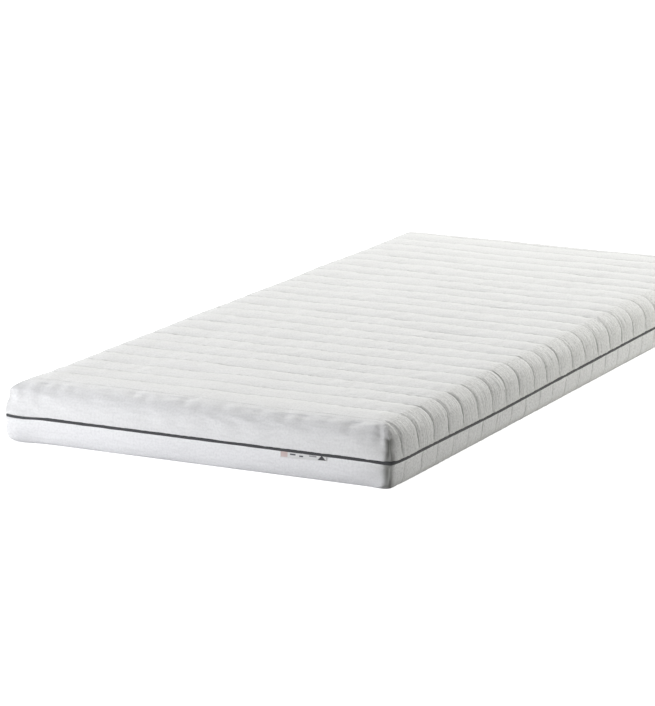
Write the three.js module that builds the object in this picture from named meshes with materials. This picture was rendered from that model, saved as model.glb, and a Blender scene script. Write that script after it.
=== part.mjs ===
// Foam mattress in a two-part quilted cover, 900 x 2000 x 138 mm, lying flat.
//
// The cover is cut as two shells that meet at a piped seam running right round the mattress.
// Each shell is built as the filled half that it wraps:
//   upper_cover  crowned top and sloping walls, quilted across the width in straight channels
//   lower_cover  flat underside and lower walls, quilted more lightly on lines of its own
//   edge_piping  round cord in the seam, one closed ring
//   side_label   woven tape that hangs from the seam on the near short end
//
// Frame: origin at the centre of the underside, +X across the width, +Y along the length,
// +Z up. Units are millimetres.

import * as THREE from 'three';
import { mergeVertices } from 'three/addons/utils/BufferGeometryUtils.js';

const { clamp, lerp, smoothstep } = THREE.MathUtils;

// ---- driving dimensions ---------------------------------------------------------------

const WIDTH = 900;
const LENGTH = 2000;
const HEIGHT = 138;

const PIPING_HEIGHT = 61; // centre of the cord above the underside
const PIPING_RADIUS = 4;
const PIPING_SIDES = 8;
const FABRIC_GAP = 0.3; // clearance between neighbouring pieces

// The walls are superellipses: upright at the seam, turning over into the top and the foot.
const WALL_EXPONENT = 3;
const SHOULDER_DEPTH = 90; // how far in from the seam the top becomes level
const FOOT_DEPTH = 36; // how far in from the seam the underside becomes flat
const UPPER_WALL_INSET = 1.5; // how far a wall stays inside the piping
const LOWER_WALL_INSET = 2.4;

// The plan corners are superellipses too, crisper at the seam than higher up.
const CORNER_DEPTH = 90;
const SEAM_CORNER_EXPONENT = 12;
const SHOULDER_CORNER_EXPONENT = 6.5;

const UPPER_LINE_PITCH = 75.4;
const UPPER_FIRST_LINE = 46; // from the near short end
const UPPER_LINE_COUNT = 26;
const UPPER_LINE_DEPTH = 3.5;
const UPPER_SHOULDER = 16; // half width of a quilting line's trough

const LOWER_LINE_PITCH = 78;
const LOWER_FIRST_LINE = 60;
const LOWER_LINE_COUNT = 25;
const LOWER_LINE_DEPTH = 1.8;

const CORNER_DART_DEPTH = 3.5;
const CORNER_SHARES = [0.55, 0.2]; // points between the corner and its neighbours
const ACROSS = [0.27, 0.55, 0.8]; // points across a short end, as shares of its half width
const ACROSS_MARGIN = 50; // the last of them, from the long side

const LABEL_CENTRE_X = 245;
const LABEL_WIDTH = 104;
const LABEL_TOP = 56;
const LABEL_BOTTOM = 44.5;
const LABEL_THICKNESS = 1;
const LABEL_STEPS = 8;

// ---- fabrics --------------------------------------------------------------------------

const coverFabric = new THREE.MeshStandardMaterial({
  name: 'cover_fabric',
  color: new THREE.Color(0.87, 0.87, 0.88),
  roughness: 0.95,
  metalness: 0,
});
const pipingFabric = new THREE.MeshStandardMaterial({
  name: 'piping_fabric',
  color: new THREE.Color(0.035, 0.036, 0.042),
  roughness: 0.85,
  metalness: 0,
});
const labelFabric = new THREE.MeshStandardMaterial({
  name: 'label_fabric',
  color: new THREE.Color(0.8, 0.8, 0.79),
  roughness: 0.7,
  metalness: 0,
});

// ---- plan outline ---------------------------------------------------------------------

// Every place on the mattress is named by its distances in from the nearest long side and the
// nearest short end. That grid of squares is pulled onto superellipse corners here. The
// result also gives the outward direction in plan.
function planPoint(side, end, fromSide, fromEnd) {
  const across = Math.max(0, (CORNER_DEPTH - fromSide) / CORNER_DEPTH);
  const along = Math.max(0, (CORNER_DEPTH - fromEnd) / CORNER_DEPTH);
  const turn = clamp(Math.min(fromSide, fromEnd) / 30, 0, 1);
  const exponent = lerp(SEAM_CORNER_EXPONENT, SHOULDER_CORNER_EXPONENT, turn);
  const norm = (across ** exponent + along ** exponent) ** (1 / exponent);
  const pull = norm > 0 ? Math.max(across, along) / norm : 1;
  const moved = (share, distance) => (share > 0 ? CORNER_DEPTH * (1 - share * pull) : distance);
  const outX = across ** (exponent - 1);
  const outY = along ** (exponent - 1);
  const outLength = Math.hypot(outX, outY) || 1;
  return {
    x: side * (WIDTH / 2 - moved(across, fromSide)),
    y: end * (LENGTH / 2 - moved(along, fromEnd)),
    nx: (side * outX) / outLength,
    ny: (end * outY) / outLength,
  };
}

// Stations along a long side: distances from the near end, each with its trough share, which
// is 1 on a quilting line and 0 on the full channel.
function lengthStations(first, pitch, count, shoulder) {
  const stations = [];
  for (let i = 0; i < count; i += 1) {
    const line = first + i * pitch;
    if (i > 0 && shoulder > 0) stations.push({ place: line - shoulder, trough: 0 });
    stations.push({ place: line, trough: 1 });
    if (i < count - 1) {
      stations.push({ place: shoulder > 0 ? line + shoulder : line + pitch / 2, trough: 0 });
    }
  }
  return stations;
}

// Points across a short end, as signed distances from the middle, from -X to +X.
function acrossPlaces() {
  const half = WIDTH / 2 - ACROSS_MARGIN;
  const right = [...ACROSS, 1].map((share) => half * share);
  return [...right.slice().reverse().map((x) => -x), 0, ...right];
}

// The outline at one inset, once round, counter-clockwise seen from above: near end,
// near-right corner, right side, far-right corner, far end, far-left corner, left side,
// near-left corner. Every ring of a shell has the same points in the same order.
function outline(inset, stations) {
  const firstPlace = stations[0].place;
  const lastMargin = LENGTH - stations[stations.length - 1].place;
  const onEnd = (x, end) => ({
    ...planPoint(x < 0 ? -1 : 1, end, WIDTH / 2 - Math.abs(x), inset),
    trough: 0,
    dart: 0,
  });
  const onSide = (side, station) => {
    const near = station.place < LENGTH / 2;
    const fromEnd = near ? station.place : LENGTH - station.place;
    return { ...planPoint(side, near ? -1 : 1, inset, fromEnd), trough: station.trough, dart: 0 };
  };
  // From the short end round to the long side.
  const corner = (side, end) => {
    const margin = end < 0 ? firstPlace : lastMargin;
    const reach = (share, limit) => inset + (limit - inset) * share;
    const endPart = CORNER_SHARES.map((s) => planPoint(side, end, reach(s, ACROSS_MARGIN), inset));
    const sidePart = CORNER_SHARES.slice()
      .reverse()
      .map((s) => planPoint(side, end, inset, reach(s, margin)));
    const plain = (point) => ({ ...point, trough: 0, dart: 0 });
    const tip = { ...planPoint(side, end, inset, inset), trough: 0, dart: 1 };
    return [...endPart.map(plain), tip, ...sidePart.map(plain)];
  };
  const across = acrossPlaces();
  return [
    ...across.map((x) => onEnd(x, -1)),
    ...corner(1, -1),
    ...stations.map((station) => onSide(1, station)),
    ...corner(1, 1).reverse(),
    ...across.slice().reverse().map((x) => onEnd(x, 1)),
    ...corner(-1, 1),
    ...stations.slice().reverse().map((station) => onSide(-1, station)),
    ...corner(-1, -1).reverse(),
  ];
}

// One ring of a shell. A level states the inset of its outline, a further step straight
// inwards, its height, how deep the quilting lines and corner darts are there, and how much
// of the quilting depth goes straight down.
function ringPoints(level, stations, lineDepth) {
  return outline(level.inset, stations).map((point) => {
    const lineCut = point.trough * level.quilting * lineDepth;
    const dartCut = point.dart * level.dart * CORNER_DART_DEPTH;
    const inward = level.step + lineCut * (1 - level.down) + dartCut;
    return [
      point.x - point.nx * inward,
      point.y - point.ny * inward,
      level.height - lineCut * level.down,
    ];
  });
}

// ---- mesh building --------------------------------------------------------------------

function addQuad(triangles, a, b, c, d) {
  triangles.push([a, b, c], [a, c, d]);
}

// Joins a ring to the next one out or up. reversed turns the faces over.
function addBand(triangles, lowerRing, upperRing, reversed) {
  const count = lowerRing.length;
  for (let i = 0; i < count; i += 1) {
    const j = (i + 1) % count;
    if (reversed) {
      addQuad(triangles, upperRing[i], upperRing[j], lowerRing[j], lowerRing[i]);
    } else {
      addQuad(triangles, lowerRing[i], lowerRing[j], upperRing[j], upperRing[i]);
    }
  }
}

// Closes a flat ring with one flat face that looks up or down.
function addFlatCap(triangles, ring, facesUp) {
  const flat = ring.map((p) => new THREE.Vector2(p[0], p[1]));
  THREE.ShapeUtils.triangulateShape(flat, []).forEach(([a, b, c]) => {
    triangles.push(facesUp ? [ring[a], ring[b], ring[c]] : [ring[a], ring[c], ring[b]]);
  });
}

function toGeometry(triangles) {
  const geometry = new THREE.BufferGeometry();
  geometry.setAttribute('position', new THREE.Float32BufferAttribute(triangles.flat(2), 3));
  const merged = mergeVertices(geometry, 1e-4);
  merged.computeVertexNormals();
  return merged;
}

// ---- shells ---------------------------------------------------------------------------

// How far a wall has turned in once it has covered a share of its height.
function wallTurn(share) {
  return 1 - (1 - share ** WALL_EXPONENT) ** (1 / WALL_EXPONENT);
}

// The seam groove shared by both shells: a quarter round that clears the piping.
// direction is +1 for the upper shell and -1 for the lower one.
function seamLevels(direction) {
  const radius = PIPING_RADIUS + FABRIC_GAP * 1.7;
  const arc = [28, 66].map((degrees) => {
    const angle = THREE.MathUtils.degToRad(degrees);
    return {
      step: PIPING_RADIUS + radius * Math.cos(angle),
      height: PIPING_HEIGHT + direction * radius * Math.sin(angle),
    };
  });
  const parting = {
    step: PIPING_RADIUS + radius,
    height: PIPING_HEIGHT + (direction * FABRIC_GAP) / 2,
  };
  return [parting, ...arc].map((level) => ({ ...level, inset: 0, quilting: 0, down: 0, dart: 0 }));
}

function upperLevels() {
  const rise = HEIGHT - PIPING_HEIGHT;
  const wall = [0.12, 0.27, 0.46, 0.65, 0.8, 0.9].map((share) => ({
    inset: SHOULDER_DEPTH * wallTurn(share),
    step: UPPER_WALL_INSET * (1 - wallTurn(share)),
    height: PIPING_HEIGHT + rise * share,
    quilting: smoothstep(share, 0, 0.5),
    down: smoothstep(share, 0.4, 1),
    dart: smoothstep(share, 0, 0.2) * (1 - smoothstep(share, 0.65, 0.9)),
  }));
  return [...seamLevels(1), ...wall];
}

function lowerLevels() {
  const wall = [0.16, 0.34, 0.56, 0.78, 0.94, 1].map((share) => ({
    inset: FOOT_DEPTH * wallTurn(share),
    step: LOWER_WALL_INSET * (1 - wallTurn(share)),
    height: PIPING_HEIGHT * (1 - share),
    quilting: smoothstep(share, 0, 0.3) * (1 - smoothstep(share, 0.7, 0.94)),
    down: 0,
    dart: smoothstep(share, 0, 0.3) * (1 - smoothstep(share, 0.7, 0.94)),
  }));
  return [...seamLevels(-1), ...wall];
}

// Height of the top at an inset past the last ring.
function crownHeight(inset) {
  const share = clamp((SHOULDER_DEPTH - inset) / SHOULDER_DEPTH, 0, 1);
  const rise = (1 - share ** WALL_EXPONENT) ** (1 / WALL_EXPONENT);
  return PIPING_HEIGHT + (HEIGHT - PIPING_HEIGHT) * rise;
}

// The quilted top inside the last ring: a grid of rows along the quilting lines, with a
// strip at each short end and a small fan in each corner.
function addCrown(triangles, stations, ring) {
  const across = acrossPlaces();
  const corner = 2 * CORNER_SHARES.length + 1;
  const rightStart = across.length + corner;
  const farStart = rightStart + stations.length + corner;
  const leftStart = farStart + across.length + corner;
  const rows = stations.map((station, j) => {
    const near = station.place < LENGTH / 2;
    const fromEnd = near ? station.place : LENGTH - station.place;
    const inner = across.map((x) => {
      const fromSide = WIDTH / 2 - Math.abs(x);
      const point = planPoint(x < 0 ? -1 : 1, near ? -1 : 1, fromSide, fromEnd);
      const height = crownHeight(Math.min(fromSide, fromEnd));
      return [point.x, point.y, height - station.trough * UPPER_LINE_DEPTH];
    });
    return [ring[leftStart + stations.length - 1 - j], ...inner, ring[rightStart + j]];
  });
  for (let j = 0; j + 1 < rows.length; j += 1) {
    for (let i = 0; i + 1 < rows[j].length; i += 1) {
      addQuad(triangles, rows[j][i], rows[j][i + 1], rows[j + 1][i + 1], rows[j + 1][i]);
    }
  }
  const first = rows[0];
  const last = rows[rows.length - 1];
  for (let i = 0; i + 1 < across.length; i += 1) {
    addQuad(triangles, ring[i], ring[i + 1], first[i + 2], first[i + 1]);
    const far = ring[farStart + across.length - 1 - i];
    const farNext = ring[farStart + across.length - 2 - i];
    addQuad(triangles, last[i + 1], last[i + 2], farNext, far);
  }
  const fans = [
    { centre: first[first.length - 2], from: across.length - 1 },
    { centre: last[last.length - 2], from: rightStart + stations.length - 1 },
    { centre: last[1], from: farStart + across.length - 1 },
    { centre: first[1], from: leftStart + stations.length - 1 },
  ];
  fans.forEach(({ centre, from }) => {
    for (let i = 0; i <= corner; i += 1) {
      const a = ring[(from + i) % ring.length];
      const b = ring[(from + i + 1) % ring.length];
      triangles.push([centre, a, b]);
    }
  });
}

function makeUpperCover() {
  const stations = lengthStations(
    UPPER_FIRST_LINE,
    UPPER_LINE_PITCH,
    UPPER_LINE_COUNT,
    UPPER_SHOULDER,
  );
  const rings = upperLevels().map((level) => ringPoints(level, stations, UPPER_LINE_DEPTH));
  const triangles = [];
  addFlatCap(triangles, rings[0], false);
  for (let i = 0; i + 1 < rings.length; i += 1) addBand(triangles, rings[i], rings[i + 1], false);
  addCrown(triangles, stations, rings[rings.length - 1]);
  return toGeometry(triangles);
}

function makeLowerCover() {
  const stations = lengthStations(LOWER_FIRST_LINE, LOWER_LINE_PITCH, LOWER_LINE_COUNT, 0);
  const rings = lowerLevels().map((level) => ringPoints(level, stations, LOWER_LINE_DEPTH));
  const triangles = [];
  addFlatCap(triangles, rings[0], true);
  for (let i = 0; i + 1 < rings.length; i += 1) addBand(triangles, rings[i], rings[i + 1], true);
  addFlatCap(triangles, rings[rings.length - 1], false);
  return toGeometry(triangles);
}

// ---- piping ---------------------------------------------------------------------------

// A closed ring: an eight-sided section carried round the outline of the seam.
function makePiping() {
  const places = [ACROSS_MARGIN, LENGTH / 2, LENGTH - ACROSS_MARGIN];
  const path = outline(0, places.map((place) => ({ place, trough: 0 })));
  const rings = [];
  for (let s = 0; s < PIPING_SIDES; s += 1) {
    const angle = (2 * Math.PI * s) / PIPING_SIDES;
    const inward = PIPING_RADIUS * (1 - Math.cos(angle));
    const height = PIPING_HEIGHT + PIPING_RADIUS * Math.sin(angle);
    rings.push(path.map((p) => [p.x - p.nx * inward, p.y - p.ny * inward, height]));
  }
  const triangles = [];
  for (let s = 0; s < PIPING_SIDES; s += 1) {
    addBand(triangles, rings[s], rings[(s + 1) % PIPING_SIDES], false);
  }
  return toGeometry(triangles);
}

// ---- label ----------------------------------------------------------------------------

// A thin tape on the near short end. Its top edge is held at the seam and its lower edge
// stands a little off the wall. Its front follows the profile below.
function makeLabel() {
  const profile = [
    { inset: 1.9, height: LABEL_TOP },
    { inset: 0.6, height: LABEL_TOP - 5 },
    { inset: 0.5, height: LABEL_BOTTOM },
  ];
  const section = [
    ...profile.map((p) => [p.inset, p.height]),
    ...profile.slice().reverse().map((p) => [p.inset + LABEL_THICKNESS, p.height]),
  ];
  const columns = [];
  for (let i = 0; i <= LABEL_STEPS; i += 1) {
    const x = LABEL_CENTRE_X + LABEL_WIDTH * (i / LABEL_STEPS - 0.5);
    columns.push(section.map(([inset, height]) => [x, -LENGTH / 2 + inset, height]));
  }
  const triangles = [];
  for (let i = 0; i < LABEL_STEPS; i += 1) {
    for (let s = 0; s < section.length; s += 1) {
      const t = (s + 1) % section.length;
      addQuad(triangles, columns[i][s], columns[i][t], columns[i + 1][t], columns[i + 1][s]);
    }
  }
  [columns[0], columns[LABEL_STEPS]].forEach((end, side) => {
    const strips = [[0, 1, 4, 5], [1, 2, 3, 4]];
    strips.forEach(([a, b, c, d]) => {
      if (side === 0) addQuad(triangles, end[d], end[c], end[b], end[a]);
      else addQuad(triangles, end[a], end[b], end[c], end[d]);
    });
  });
  return toGeometry(triangles);
}

// ---- assembly -------------------------------------------------------------------------

function addPiece(group, name, geometry, material) {
  const mesh = new THREE.Mesh(geometry, material.clone());
  mesh.name = name;
  group.add(mesh);
}

const mattress = new THREE.Group();
addPiece(mattress, 'upper_cover', makeUpperCover(), coverFabric);
addPiece(mattress, 'lower_cover', makeLowerCover(), coverFabric);
addPiece(mattress, 'edge_piping', makePiping(), pipingFabric);
addPiece(mattress, 'side_label', makeLabel(), labelFabric);

export default mattress;
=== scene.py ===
# Foam mattress in a two-part quilted cover: the soft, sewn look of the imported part.
#
# Both halves of the cover are dense padded shells. Each is laid out as its sewing pattern is:
# a top panel whose edges turn down as walls, with a dart at each corner, and the quilting
# lines are rows of that layout. Piping, thread and tape follow the same outline. A short cloth
# simulation lets the upper cover's wadding settle between its stitching.

import math

import bpy
import numpy as np
from mathutils import Matrix, Vector


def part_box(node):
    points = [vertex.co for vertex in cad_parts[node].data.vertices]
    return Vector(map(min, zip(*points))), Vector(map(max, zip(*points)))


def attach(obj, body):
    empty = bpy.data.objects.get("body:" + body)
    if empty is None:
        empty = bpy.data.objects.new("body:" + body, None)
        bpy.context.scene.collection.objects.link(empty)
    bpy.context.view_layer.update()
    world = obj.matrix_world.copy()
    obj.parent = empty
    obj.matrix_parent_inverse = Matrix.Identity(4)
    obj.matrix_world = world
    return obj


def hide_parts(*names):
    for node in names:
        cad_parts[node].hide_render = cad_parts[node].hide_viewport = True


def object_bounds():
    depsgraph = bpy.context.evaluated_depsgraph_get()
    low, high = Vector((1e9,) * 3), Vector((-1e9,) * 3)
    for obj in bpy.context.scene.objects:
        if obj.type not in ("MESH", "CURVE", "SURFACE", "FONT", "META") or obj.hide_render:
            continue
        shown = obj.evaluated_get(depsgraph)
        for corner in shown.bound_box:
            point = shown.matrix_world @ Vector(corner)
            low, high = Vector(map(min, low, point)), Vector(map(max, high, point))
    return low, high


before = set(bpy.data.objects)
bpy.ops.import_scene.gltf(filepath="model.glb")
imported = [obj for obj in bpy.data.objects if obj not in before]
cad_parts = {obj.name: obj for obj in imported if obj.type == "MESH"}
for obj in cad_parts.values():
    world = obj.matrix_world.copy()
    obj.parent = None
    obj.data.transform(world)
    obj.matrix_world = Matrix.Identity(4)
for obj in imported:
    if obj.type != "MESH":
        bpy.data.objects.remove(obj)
cad_low, cad_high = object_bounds()

MM = 0.001
TAU = 2 * math.pi

# ---- sizes, taken from the frame or stated once ------------------------------------------

HALF_WIDTH = cad_high.x
HALF_LENGTH = cad_high.y
LENGTH = 2 * HALF_LENGTH
TOP = cad_high.z
PIPING_LOW, PIPING_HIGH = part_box("edge_piping")
SEAM = (PIPING_LOW.z + PIPING_HIGH.z) / 2
PIPING_RADIUS = (PIPING_HIGH.z - PIPING_LOW.z) / 2
LABEL_LOW, LABEL_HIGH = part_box("side_label")

WALL_EXPONENT = 3.0
SHOULDER_DEPTH = 90 * MM
FOOT_DEPTH = 36 * MM
CORNER_DEPTH = 90 * MM
CORNER_TURN = 30 * MM
SEAM_CORNER_EXPONENT = 12
SHOULDER_CORNER_EXPONENT = 6.5

# A cover's panel starts at EDGE, this far in. Between there and FIXED its rows and columns
# follow the wall's rings round the corners.
UPPER_EDGE = 32 * MM
LOWER_EDGE = 30 * MM
UPPER_ROW_FIXED = 38 * MM
LOWER_ROW_FIXED = 48 * MM
COLUMN_FIXED = 46 * MM
RING_PITCH = 2.8 * MM
SEAM_GAP = 0.35 * MM
CLOSEST_ROWS = 0.6 * MM

STITCH_PITCH = 4.8 * MM
STITCH_LENGTH = 3.7 * MM
THREAD_RADIUS = 0.32 * MM
THREAD_LIFT = 0.12 * MM
STITCH_SEED = 3

# One deeper dent is pressed into the near short end's shoulder, beside the right corner.
PRESSED_PLACE = 352 * MM
PRESSED_DEPTH = 2.6 * MM

SWELL_STEPS = 8
MOST_SWELL = 1.6 * MM

LOOP_WIDTH = 1.6 * MM
LOOP_HEIGHT = 1.3 * MM
PIPING_YARN = 1.1 * MM
TAPE_RIB = 0.7 * MM

# How each corner sits: how far it is boxed out at the shoulder, pulled in at the dart,
# drawn out along the seam and filled out between them, and how strongly its dart shows, in shape and in
# painted shade.
BOXED, PULLED, DRAWN, FILLED, DARTED = 0, 1, 2, 3, 4
CORNER_CHARACTER = {
    (-1, -1): (20 * MM, 0, 5 * MM, 8 * MM, 0.15),
    (1, -1): (0, 9.5 * MM, -4 * MM, 0, 1),
    (1, 1): (9 * MM, 5 * MM, 2 * MM, 0, 0.7),
    (-1, 1): (12 * MM, 3 * MM, 3 * MM, 3 * MM, 0.5),
}

# ---- numbers that vary smoothly ----------------------------------------------------------


def soft_noise(u, v, seed, waves=16):
    """Smooth seeded noise with a spread of about 1 and bumps about one unit across."""
    draw = np.random.default_rng(seed)
    total = np.zeros(np.broadcast(u, v).shape)
    for _ in range(waves):
        heading = draw.uniform(0, TAU)
        pace = draw.uniform(0.6, 1.4)
        phase = draw.uniform(0, TAU)
        total += np.sin(TAU * pace * (u * math.cos(heading) + v * math.sin(heading)) / 1.6 + phase)
    return total * math.sqrt(2 / waves)


def smooth_step(value, low, high):
    """0 up to low, 1 from high on, and a soft rise between them."""
    share = np.clip((value - low) / (high - low), 0, 1)
    return share * share * (3 - 2 * share)


def graded(start, stop, count, power):
    """Places from start to stop, closer together near start."""
    return start + (stop - start) * np.linspace(0, 1, count) ** power


# ---- the plan outline and the wall's section ---------------------------------------------


def plan_point(side, end, from_side, from_end):
    """Plan place and outward direction for distances in from the long side and short end."""
    across = np.maximum(0, (CORNER_DEPTH - from_side) / CORNER_DEPTH)
    along = np.maximum(0, (CORNER_DEPTH - from_end) / CORNER_DEPTH)
    turn = np.clip(np.minimum(from_side, from_end) / CORNER_TURN, 0, 1)
    exponent = SEAM_CORNER_EXPONENT + (SHOULDER_CORNER_EXPONENT - SEAM_CORNER_EXPONENT) * turn
    norm = (across**exponent + along**exponent) ** (1 / exponent)
    pull = np.where(norm > 0, np.maximum(across, along) / np.maximum(norm, 1e-9), 1)
    in_x = np.where(across > 0, CORNER_DEPTH * (1 - across * pull), from_side)
    in_y = np.where(along > 0, CORNER_DEPTH * (1 - along * pull), from_end)
    out_x = across ** (exponent - 1)
    out_y = along ** (exponent - 1)
    size = np.maximum(np.hypot(out_x, out_y), 1e-9)
    plan = np.stack([side * (HALF_WIDTH - in_x), end * (HALF_LENGTH - in_y)], -1)
    outward = np.stack([side * out_x / size, end * out_y / size], -1)
    return plan, outward


def wall_turn(share):
    """How far a wall has turned in once it has covered a share of its height."""
    return 1 - (1 - share**WALL_EXPONENT) ** (1 / WALL_EXPONENT)


def wall_rise(turn):
    """The share of its height that a wall has covered at a share of its turn."""
    return (1 - (1 - turn) ** WALL_EXPONENT) ** (1 / WALL_EXPONENT)


# ---- a padded shell ----------------------------------------------------------------------


class Shell:
    """One half of the cover: rings up the wall from the seam, then a grid over the panel.

    For every vertex it holds the smooth position, and where that is on the sewing pattern: run
    along the length, cross over the width, arc up from the seam, the share of the wall's height,
    and flat, which is 1 on the level panel."""

    def __init__(self, name, depth, height, edge, wall_inset, lines, offsets, rows_fixed, columns):
        self.name = name
        self.depth = depth
        self.height = height
        self.edge = edge
        self.wall_inset = wall_inset
        self.lines = lines
        self.fixed = rows_fixed
        self.rows = self._row_places(offsets)
        self._lay_out_panel(columns)
        self._lay_out_rings()
        parts = [self._ring(*ring) for ring in self.rings] + [self._panel()]
        joined = [np.concatenate(values) for values in zip(*parts)]
        self.points, self.run, self.cross, self.arc, self.share, self.flat = joined

    def _row_places(self, offsets):
        """Rows along the length: even closer beside the quilting lines, and near both ends."""
        near = graded(self.edge, self.fixed, 13, 1.5)
        body = [line + sign * offset for line in self.lines for offset in offsets for sign in (-1, 1)]
        body += [(a + b) / 2 for a, b in zip(self.lines, self.lines[1:])]
        body = [p for p in sorted(body) if self.fixed + MM < p < LENGTH - self.fixed - MM]
        kept = [body[0]]
        for place in body[1:]:
            if place - kept[-1] > CLOSEST_ROWS:
                kept.append(place)
        return np.concatenate([near, kept, LENGTH - near[::-1]])

    def _lay_out_panel(self, columns):
        """The panel's grid, by distance in from its edges, and the way round its rim."""
        n_rows, n_cols = len(self.rows), len(columns)
        place, x = np.meshgrid(self.rows, columns, indexing="ij")
        self.grid = {
            "side": np.where(x < 0, -1.0, 1.0),
            "end": np.where(place < HALF_LENGTH, -1.0, 1.0),
            "from_side": HALF_WIDTH - abs(x),
            "from_end": np.where(place < HALF_LENGTH, place, LENGTH - place),
        }
        j = np.concatenate([np.zeros(n_cols, int), np.arange(1, n_rows), np.full(n_cols - 1, n_rows - 1),
                            np.arange(n_rows - 2, 0, -1)])
        i = np.concatenate([np.arange(n_cols), np.full(n_rows - 1, n_cols - 1),
                            np.arange(n_cols - 2, -1, -1), np.zeros(n_rows - 2, int)])
        self.rim_rows, self.rim_columns = j, i
        self.rim_size = len(j)
        self.on_end = (j == 0) | (j == n_rows - 1)
        self.on_dart = ((i == 0) | (i == n_cols - 1)) & self.on_end
        self.n_rows, self.n_cols = n_rows, n_cols

    def _lay_out_rings(self):
        """Each ring's inset, step in, lift, share of the wall's height, and arc."""
        groove = PIPING_RADIUS + SEAM_GAP
        angles = np.radians([2, 24, 46, 68])
        round_piping = zip(PIPING_RADIUS + groove * np.cos(angles), groove * np.sin(angles))
        self.rings = [(0.0, step, lift, 0.0, 0.0) for step, lift in round_piping]
        self.first_wall = len(angles)
        share = np.linspace(0.02, wall_rise(self.edge / self.depth), 400)
        inset = self.depth * wall_turn(share)
        rise = abs(self.height) * share
        length = np.concatenate([[0], np.cumsum(np.hypot(np.diff(inset), np.diff(rise)))])
        length += rise[0]
        self.arc_top = length[-1]
        count = int((length[-1] - length[0]) / RING_PITCH) + 1
        for arc in np.linspace(length[0], length[-1], count):
            at, ring_inset = np.interp(arc, length, share), np.interp(arc, length, inset)
            step = self.wall_inset * (1 - wall_turn(at))
            self.rings.append((ring_inset, step, abs(self.height) * at, at, arc))

    def squeezed(self, distance, inset, fixed):
        """Moves the places beside a corner along with the ring's own inset."""
        part = inset + (distance - self.edge) / (fixed - self.edge) * (fixed - inset)
        return np.where(distance < fixed, part, distance)

    def _ring(self, inset, step, lift, share, arc):
        """One ring round the wall: its points, run, cross, arc, share and flat."""
        g, j, i = self.grid, self.rim_rows, self.rim_columns
        side, end = g["side"][j, i], g["end"][j, i]
        from_side = self.squeezed(g["from_side"][j, i], inset, COLUMN_FIXED)
        from_end = self.squeezed(g["from_end"][j, i], inset, self.fixed)
        plan, outward = plan_point(side, end, from_side, from_end)
        height = np.full(len(j), SEAM + math.copysign(lift, self.height))
        turned_down = self.edge - (self.arc_top - arc)
        on_end = self.on_end & ~self.on_dart
        run_in = np.where(on_end, turned_down, from_end)
        run = np.where(end < 0, run_in, LENGTH - run_in)
        cross = side * (HALF_WIDTH - np.where(on_end, from_side, turned_down))
        points = np.column_stack([plan - outward * step, height])
        return points, run, cross, np.full(len(j), arc), np.full(len(j), share), np.zeros(len(j))

    def _panel(self):
        """The panel's grid inside its rim: the same values as for a ring."""
        g = self.grid
        plan, outward = plan_point(g["side"], g["end"], g["from_side"], g["from_end"])
        level = np.minimum(g["from_side"], g["from_end"])
        turn = np.clip(level / self.depth, 0, 1)
        rise = wall_rise(turn)
        plan = plan - outward * (self.wall_inset * (1 - turn))[..., None]
        points = np.dstack([plan, SEAM + self.height * rise])
        run = np.where(g["end"] < 0, g["from_end"], LENGTH - g["from_end"])
        cross = g["side"] * (HALF_WIDTH - g["from_side"])
        arc = self.arc_top + level - self.edge
        flat = smooth_step(level, self.edge, 2 * self.edge)
        within = (slice(1, -1), slice(1, -1))
        values = [part[within].ravel() for part in (run, cross, arc, rise, flat)]
        return [points[within].reshape(-1, 3)] + values

    def panel_index(self):
        """The vertex at each place of the panel's grid. Its rim is the last ring."""
        last_ring = (len(self.rings) - 1) * self.rim_size
        first_inner = last_ring + self.rim_size
        index = np.zeros((self.n_rows, self.n_cols), int)
        inner = index[1:-1, 1:-1]
        inner[:] = first_inner + np.arange(inner.size).reshape(inner.shape)
        index[self.rim_rows, self.rim_columns] = last_ring + np.arange(self.rim_size)
        return index

    def _wall_quads(self):
        ring = np.arange(self.rim_size)
        after = (ring + 1) % self.rim_size
        lows = np.arange(len(self.rings) - 1) * self.rim_size
        quads = [np.stack([low + ring, low + after, low + self.rim_size + after,
                           low + self.rim_size + ring], 1) for low in lows]
        return np.concatenate(quads)

    def _cap(self):
        """Faces across the inside of the first ring, which close the shell at the seam."""
        size = self.rim_size
        right = self.n_cols - 1 + np.arange(self.n_rows)
        left = (size - np.arange(self.n_rows)) % size
        across = [[left[k + 1], right[k + 1], right[k], left[k]] for k in range(1, self.n_rows - 2)]
        near = list(range(self.n_cols))[::-1]
        far = [self.n_cols + self.n_rows - 2 + k for k in range(self.n_cols)][::-1]
        return across, [[left[1], right[1]] + near, [right[-2], left[-2]] + far]

    def faces(self):
        """Quads of the wall, then of the panel, then the cap inside the seam. Outward."""
        g = self.panel_index()
        panel = np.stack([g[:-1, :-1], g[:-1, 1:], g[1:, 1:], g[1:, :-1]], -1).reshape(-1, 4)
        across, ends = self._cap()
        faces = np.concatenate([self._wall_quads(), panel, np.array(across)]).tolist() + ends
        return [face[::-1] for face in faces] if self.height < 0 else faces

    def wall_face_ends(self):
        """For each face of the wall, whether it is on a short end's flap."""
        on_end = self.on_end & np.roll(self.on_end, -1)
        return np.tile(on_end, len(self.rings) - 1)


def vertex_normals(points, faces):
    """Outward directions at the vertices, from the quads round them."""
    quads = np.array([face for face in faces if len(face) == 4])
    p = points[quads]
    normal = np.cross(p[:, 2] - p[:, 0], p[:, 3] - p[:, 1])
    total = np.zeros_like(points)
    for corner in range(4):
        np.add.at(total, quads[:, corner], normal)
    return total / np.maximum(np.linalg.norm(total, axis=1, keepdims=True), 1e-12)


# ---- sewing: quilting, gathers, darts, dimples -------------------------------------------


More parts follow.
